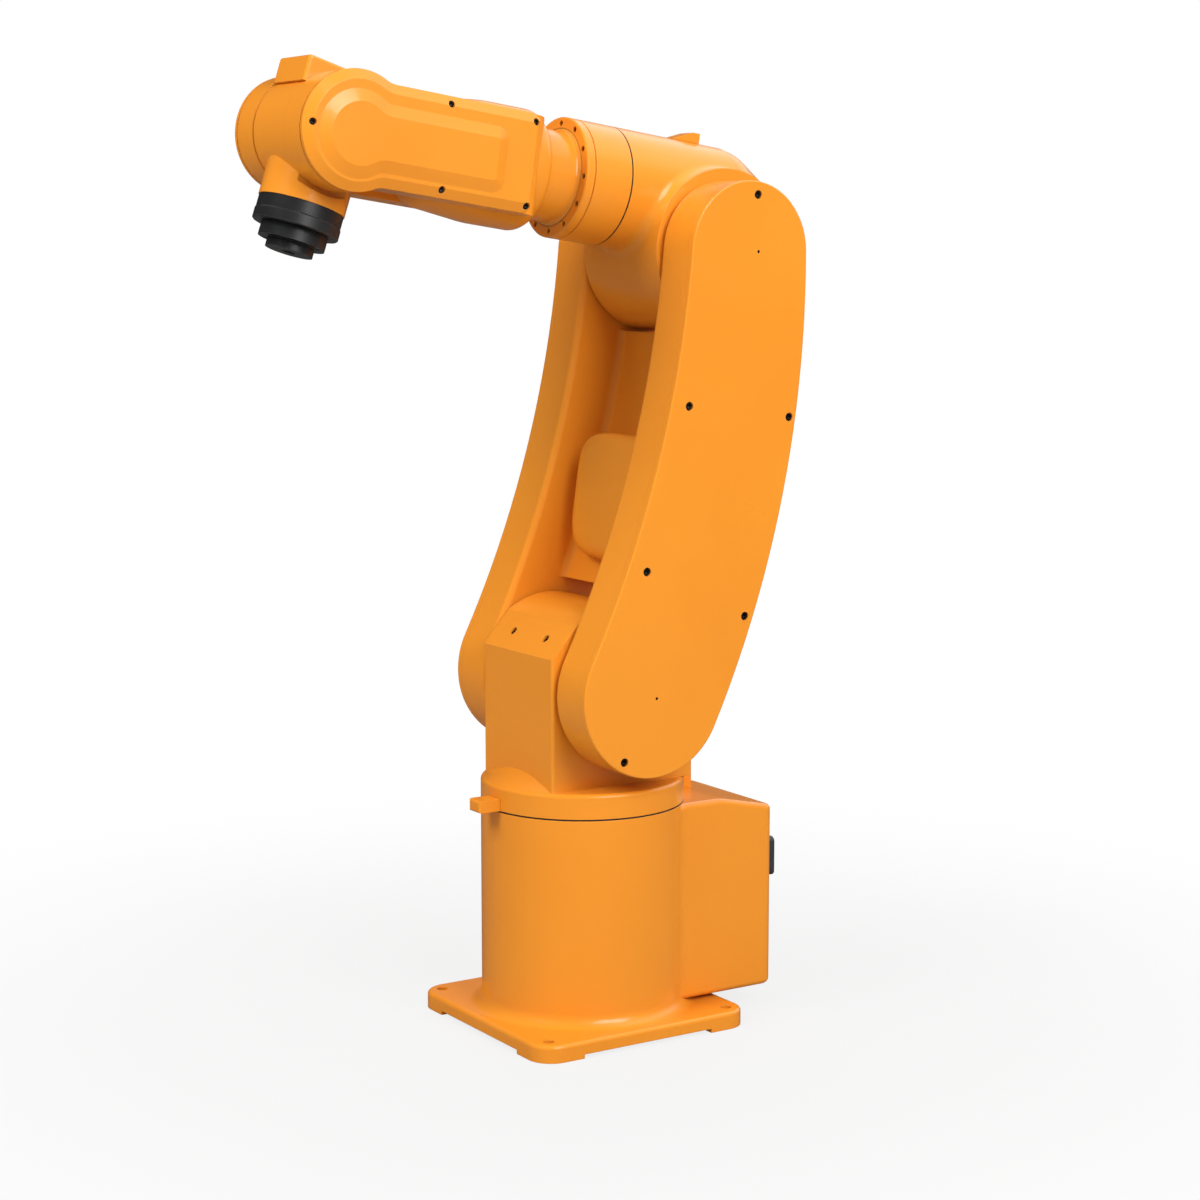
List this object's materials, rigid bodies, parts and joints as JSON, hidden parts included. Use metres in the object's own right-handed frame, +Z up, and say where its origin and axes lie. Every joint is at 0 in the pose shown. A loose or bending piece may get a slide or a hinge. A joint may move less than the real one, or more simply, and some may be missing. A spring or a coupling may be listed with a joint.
{
  "type": "industrial robot arm",
  "caption": "Floor-standing jointed robot arm: cast base and turntable, forked upper arm, elbow with forearm roll, yoke wrist bent down, and a stepped black tool flange.",
  "frame": {"origin": "floor level under the swivel axis, at the middle of the base plate's four bolt holes", "axes": "+Z up along the swivel axis, +X the way the arm reaches, +Y to the arm's left"},
  "size_m": [0.5503, 0.24, 0.9266],
  "materials": {
    "orange_paint": "satin-gloss orange enamel on smooth castings",
    "panel_paint": "satin orange enamel on sheet",
    "black_metal": "black oxide, turned, satin",
    "bearing_steel": "ground steel seat",
    "connector_plastic": "moulded, fine matte grain",
    "connector_metal": "satin nickel plate"
  },
  "bodies": {
    "base": {"base_casting": "orange_paint", "rear_panel": "panel_paint", "power_inlet": "connector_plastic", "signal_inlet": "connector_metal", "swivel_stop_block": "orange_paint", "swivel_bearing": "bearing_steel"},
    "turntable": {"turntable_casting": "orange_paint", "swivel_stop_tab": "orange_paint", "shoulder_hub_left": "bearing_steel", "shoulder_hub_right": "bearing_steel"},
    "upper_arm": {"upper_arm_casting": "orange_paint", "arm_cover_left": "orange_paint", "arm_cover_right": "orange_paint", "elbow_motor_housing": "orange_paint"},
    "elbow": {"elbow_casting": "orange_paint", "elbow_rear_cap": "orange_paint", "elbow_top_boss": "orange_paint", "elbow_hub_left": "bearing_steel", "elbow_hub_right": "bearing_steel", "roll_bearing": "bearing_steel"},
    "forearm": {"forearm_drum": "orange_paint", "forearm_flange_ring": "orange_paint", "forearm_casting": "orange_paint", "forearm_cover_left": "orange_paint", "forearm_cover_right": "orange_paint"},
    "wrist": {"wrist_casting": "orange_paint", "wrist_motor_cover": "orange_paint", "wrist_hub_left": "bearing_steel", "wrist_hub_right": "bearing_steel", "wrist_end_ring": "black_metal", "reducer_ring": "black_metal"},
    "tool": {"tool_flange": "black_metal"}
  },
  "joints": [
    {"name": "swivel", "type": "hinge", "parent": "base", "child": "turntable", "pos_m": [0, 0, 0.2195], "axis": [0, 0, 1], "range_deg": [-165, 165]},
    {"name": "shoulder", "type": "hinge", "parent": "turntable", "child": "upper_arm", "pos_m": [-0.008, 0, 0.337], "axis": [0, 1, 0], "range_deg": [-45, 100]},
    {"name": "elbow_pitch", "type": "hinge", "parent": "upper_arm", "child": "elbow", "pos_m": [-0.12226, 0, 0.75465], "axis": [0, -1, 0], "range_deg": [-60, 85]},
    {"name": "forearm_roll", "type": "hinge", "parent": "elbow", "child": "forearm", "pos_m": [-0.12904, 0, 0.80116], "axis": [0.9895, 0, 0.1444], "range_deg": [-170, 170]},
    {"name": "wrist_pitch", "type": "hinge", "parent": "forearm", "child": "wrist", "pos_m": [0.27469, 0, 0.86006], "axis": [0, 1, 0], "range_deg": [-185, 25]},
    {"name": "flange_roll", "type": "hinge", "parent": "wrist", "child": "tool", "pos_m": [0.30696, 0, 0.76246], "axis": [0.314, 0, -0.9494], "range_deg": [-360, 360]}
  ]
}
